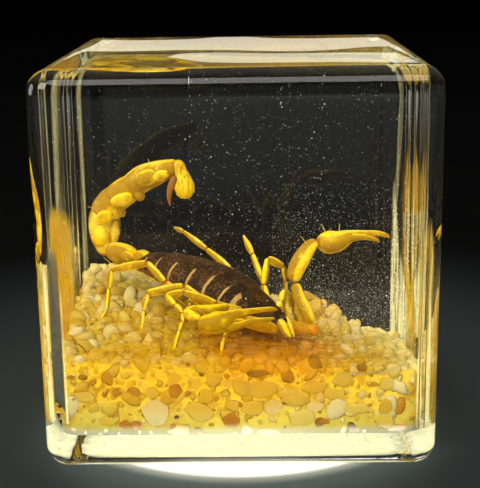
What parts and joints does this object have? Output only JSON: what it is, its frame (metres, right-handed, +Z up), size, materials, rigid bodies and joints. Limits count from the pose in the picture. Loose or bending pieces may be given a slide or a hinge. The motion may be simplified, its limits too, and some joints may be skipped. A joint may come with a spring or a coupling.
{
  "type": "scorpion in resin block",
  "caption": "Clear cast resin block on a flat base, holding a dried scorpion that stands over a sloping bed of coloured gravel.",
  "frame": {"origin": "middle of the flat base, on the surface that the block stands on", "axes": "+Z up; -Y is the front face that shows the scorpion from its right side; +X to the viewer's right"},
  "size_m": [0.045, 0.045, 0.0458],
  "materials": {
    "clear_resin": "polished clear cast resin, very slightly warm",
    "gravel": "translucent amber, cream and white grains wetted by the resin",
    "scorpion_shell": "dried shell, dark brown trunk with pale seams, waxy yellow limbs and tail"
  },
  "bodies": {
    "root": {"resin_upper": "clear_resin", "resin_lower": "clear_resin", "gravel_bed": "gravel", "scorpion": "scorpion_shell"}
  },
  "joints": []
}
